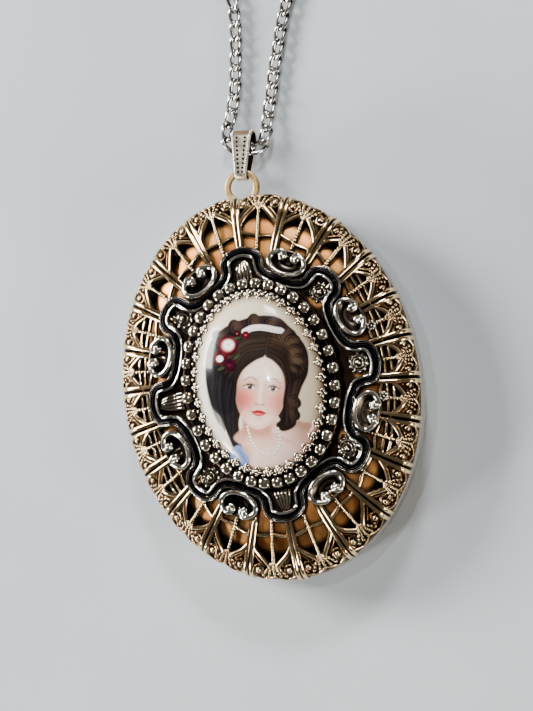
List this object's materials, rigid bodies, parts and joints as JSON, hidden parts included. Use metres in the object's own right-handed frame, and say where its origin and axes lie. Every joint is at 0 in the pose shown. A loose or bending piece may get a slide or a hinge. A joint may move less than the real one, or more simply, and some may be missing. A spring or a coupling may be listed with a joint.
{
  "type": "locket",
  "caption": "Oval hinged portrait locket with a pierced wirework rim, scroll frame, crown-set porcelain cameo, bail and curb neck chain.",
  "frame": {"origin": "centre of the case's flat back face, on which the locket lies", "axes": "+Y along the case's long axis to the suspension ring, +Z out of the front through the cameo, +X to the opening side; the hinge is on the -X side"},
  "size_m": [0.0467, 0.1139, 0.0149],
  "materials": {
    "silver_case": "antiqued silver plate, satin",
    "silver_dark": "dark oxidised silver plate with bright edges",
    "silver_bright": "polished antiqued silver plate",
    "rim_wirework": "antiqued silver plate worn warm",
    "copper_plate": "satin copper-gold",
    "gold_ring": "matt champagne plate",
    "porcelain": "glossy glaze over a painted portrait",
    "window": "clear",
    "spring_steel": "drawn wire",
    "chain_metal": "antiqued silver plate"
  },
  "bodies": {
    "chain": {"chain_run": "chain_metal", "chain_coil": "chain_metal", "chain_clasp_leads": "chain_metal", "clasp_ring_tube": "silver_bright", "clasp_spring": "spring_steel", "clasp_eye": "silver_bright", "clasp_jump_ring": "chain_metal"},
    "clasp_slide": {"clasp_bolt": "silver_bright"},
    "bail": {"bail_strap": "silver_bright"},
    "case": {"back_shell": "silver_case", "back_rim": "silver_bright", "hinge_knuckle_back_top": "silver_case", "hinge_knuckle_back_bottom": "silver_case", "hinge_pin": "spring_steel", "suspension_ring": "gold_ring", "back_photo_frame": "gold_ring", "back_window": "window"},
    "cover": {"cover_shell": "copper_plate", "hinge_knuckle_cover": "silver_case", "filigree_rim": "rim_wirework", "lobe_ornaments": "rim_wirework", "scroll_frame": "silver_dark", "scroll_volutes": "silver_dark", "setting_cup": "silver_dark", "bead_ring": "silver_bright", "crown_bezel": "silver_bright", "porcelain_cabochon": "porcelain", "setting_rivet": "copper_plate", "cover_photo_frame": "gold_ring", "cover_window": "window"}
  },
  "joints": [
    {"name": "bail_swing", "type": "hinge", "parent": "chain", "child": "bail", "pos_m": [0.0011, 0.0338, 0.00185], "axis": [-0.9371, 0.349, 0], "range_deg": [0, 80]},
    {"name": "locket_swing", "type": "hinge", "parent": "bail", "child": "case", "pos_m": [0.00037, 0.03022, 0.0025], "axis": [-0.9839, 0.1788, 0], "range_deg": [-45, 10]},
    {"name": "cover_hinge", "type": "hinge", "parent": "case", "child": "cover", "pos_m": [-0.02, 0, 0.0047], "axis": [0, -1, 0], "range_deg": [0, 110]},
    {"name": "clasp_open", "type": "hinge", "parent": "chain", "child": "clasp_slide", "pos_m": [0.01236, 0.07107, 0.00116], "axis": [0, 0, -1], "range_deg": [0, 40], "stiffness_Nm_per_rad": 0.0002, "springref_deg": -11.46}
  ]
}
